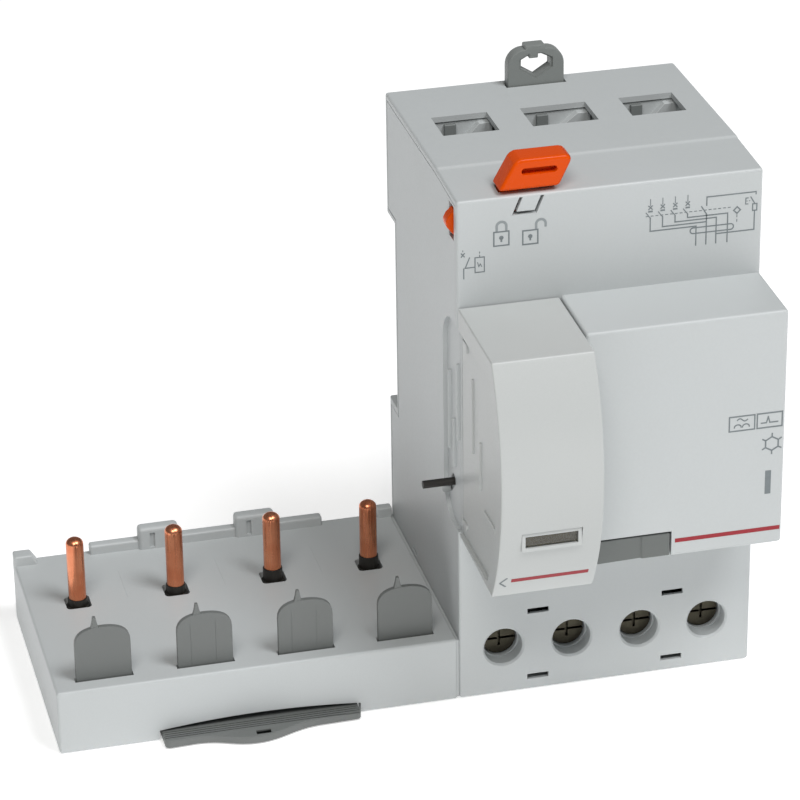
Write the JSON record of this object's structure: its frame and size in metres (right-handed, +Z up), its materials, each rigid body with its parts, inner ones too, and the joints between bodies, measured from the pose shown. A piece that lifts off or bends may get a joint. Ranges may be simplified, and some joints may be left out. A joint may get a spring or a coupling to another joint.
{
  "type": "residual current device",
  "caption": "L-shaped add-on residual current block: a low tray with upright copper pins carries a breaker, and a taller block holds the trip hood, test button and screw terminals.",
  "frame": {"origin": "centre of the face that sits against the mounting rail: the middle of the block in width, on the centre line of the rail", "axes": "+X to the right seen from the front, from the tray towards the block; +Y back towards the rail and the panel; +Z up"},
  "size_m": [0.1246, 0.077, 0.1032],
  "materials": {
    "housing": "fine satin moulded light grey",
    "hood": "satin moulded, a shade lighter than the housing",
    "grip": "satin moulded mid grey",
    "button": "satin moulded mid grey",
    "orange": "semi-gloss moulded orange",
    "black": "dull black insulating plastic",
    "lens": "clear smoked window",
    "flag": "pale yellow",
    "board": "coated laminate",
    "copper": "bare copper, drawn and lightly tarnished",
    "steel": "zinc plated steel",
    "spring_steel": "drawn spring wire",
    "core": "dark varnished tape-wound core"
  },
  "bodies": {
    "block": {"block_housing": "housing", "side_cover": "housing", "tray_housing": "housing", "tray_floor": "housing", "indicator_hood": "hood", "window_lens": "lens", "window_insert": "housing", "rail_latch_spring": "spring_steel", "test_button_spring": "spring_steel", "test_contact": "copper", "test_resistor": "black", "circuit_board": "board", "board_components": "black", "board_lead": "black", "relay_lead": "black", "transformer_core": "core", "sense_winding": "copper", "core_cradle": "black", "trip_relay": "steel", "lever_shaft": "steel", "mechanism_frame": "steel", "terminal_carrier": "black", "load_conductor_1": "copper", "pin_sleeve_1": "black", "load_conductor_2": "copper", "pin_sleeve_2": "black", "load_conductor_3": "copper", "pin_sleeve_3": "black", "load_conductor_4": "copper", "pin_sleeve_4": "black"},
    "locking_lever": {"locking_lever": "orange"},
    "rail_latch": {"rail_latch": "grip"},
    "screw_cover": {"screw_cover_carrier": "grip", "screw_cover_plate_1": "grip", "screw_cover_plate_2": "grip", "screw_cover_plate_3": "grip", "screw_cover_plate_4": "grip"},
    "test_button": {"test_button": "button"},
    "relay_plunger": {"relay_plunger": "steel"},
    "trip_lever": {"trip_lever": "black"},
    "trip_flag": {"trip_flag": "flag"},
    "terminal_screw_1": {"terminal_screw_1": "steel"},
    "terminal_cage_1": {"terminal_cage_1": "steel"},
    "terminal_screw_2": {"terminal_screw_2": "steel"},
    "terminal_cage_2": {"terminal_cage_2": "steel"},
    "terminal_screw_3": {"terminal_screw_3": "steel"},
    "terminal_cage_3": {"terminal_cage_3": "steel"},
    "terminal_screw_4": {"terminal_screw_4": "steel"},
    "terminal_cage_4": {"terminal_cage_4": "steel"}
  },
  "joints": [
    {"name": "lock_slide", "type": "slide", "parent": "block", "child": "locking_lever", "axis": [1, 0, 0], "range_m": [0, 0.0056]},
    {"name": "latch_slide", "type": "slide", "parent": "block", "child": "rail_latch", "axis": [0, 0, 1], "range_m": [0, 0.0045], "stiffness_N_per_m": 400, "springref_m": -0.002, "deforming": ["rail_latch_spring"]},
    {"name": "cover_slide", "type": "slide", "parent": "block", "child": "screw_cover", "axis": [0, 0, -1], "range_m": [0, 0.0055]},
    {"name": "button_press", "type": "slide", "parent": "block", "child": "test_button", "axis": [0, 1, 0], "range_m": [0, 0.0015], "stiffness_N_per_m": 300, "springref_m": -0.001, "deforming": ["test_button_spring"]},
    {"name": "trip_swing", "type": "hinge", "parent": "block", "child": "trip_lever", "pos_m": [-0.0199, -0.026, -0.0016], "axis": [1, 0, 0], "range_deg": [0, 14]},
    {"name": "plunger_slide", "type": "slide", "parent": "block", "child": "relay_plunger", "axis": [0, -1, 0], "range_m": [0, 0.0015]},
    {"name": "flag_slide", "type": "slide", "parent": "block", "child": "trip_flag", "axis": [0, 0, -1], "range_m": [0, 0.0029]},
    {"name": "screw_1_turn", "type": "hinge", "parent": "block", "child": "terminal_screw_1", "pos_m": [-0.01865, -0.038, -0.0443], "axis": [0, 1, 0], "range_deg": [0, 1081]},
    {"name": "cage_1_slide", "type": "slide", "parent": "block", "child": "terminal_cage_1", "axis": [0, -1, 0], "range_m": [0, 0.003]},
    {"name": "screw_2_turn", "type": "hinge", "parent": "block", "child": "terminal_screw_2", "pos_m": [-0.0062, -0.038, -0.0443], "axis": [0, 1, 0], "range_deg": [0, 1081]},
    {"name": "cage_2_slide", "type": "slide", "parent": "block", "child": "terminal_cage_2", "axis": [0, -1, 0], "range_m": [0, 0.003]},
    {"name": "screw_3_turn", "type": "hinge", "parent": "block", "child": "terminal_screw_3", "pos_m": [0.00625, -0.038, -0.0443], "axis": [0, 1, 0], "range_deg": [0, 1081]},
    {"name": "cage_3_slide", "type": "slide", "parent": "block", "child": "terminal_cage_3", "axis": [0, -1, 0], "range_m": [0, 0.003]},
    {"name": "screw_4_turn", "type": "hinge", "parent": "block", "child": "terminal_screw_4", "pos_m": [0.0187, -0.038, -0.0443], "axis": [0, 1, 0], "range_deg": [0, 1081]},
    {"name": "cage_4_slide", "type": "slide", "parent": "block", "child": "terminal_cage_4", "axis": [0, -1, 0], "range_m": [0, 0.003]}
  ],
  "couplings": [
    {"joint": "trip_swing", "follows": "plunger_slide", "rad_per_m": 161.29},
    {"joint": "flag_slide", "follows": "plunger_slide", "ratio": 1.806},
    {"joint": "screw_1_turn", "follows": "cage_1_slide", "rad_per_m": 6283.2},
    {"joint": "screw_2_turn", "follows": "cage_2_slide", "rad_per_m": 6283.2},
    {"joint": "screw_3_turn", "follows": "cage_3_slide", "rad_per_m": 6283.2},
    {"joint": "screw_4_turn", "follows": "cage_4_slide", "rad_per_m": 6283.2}
  ]
}
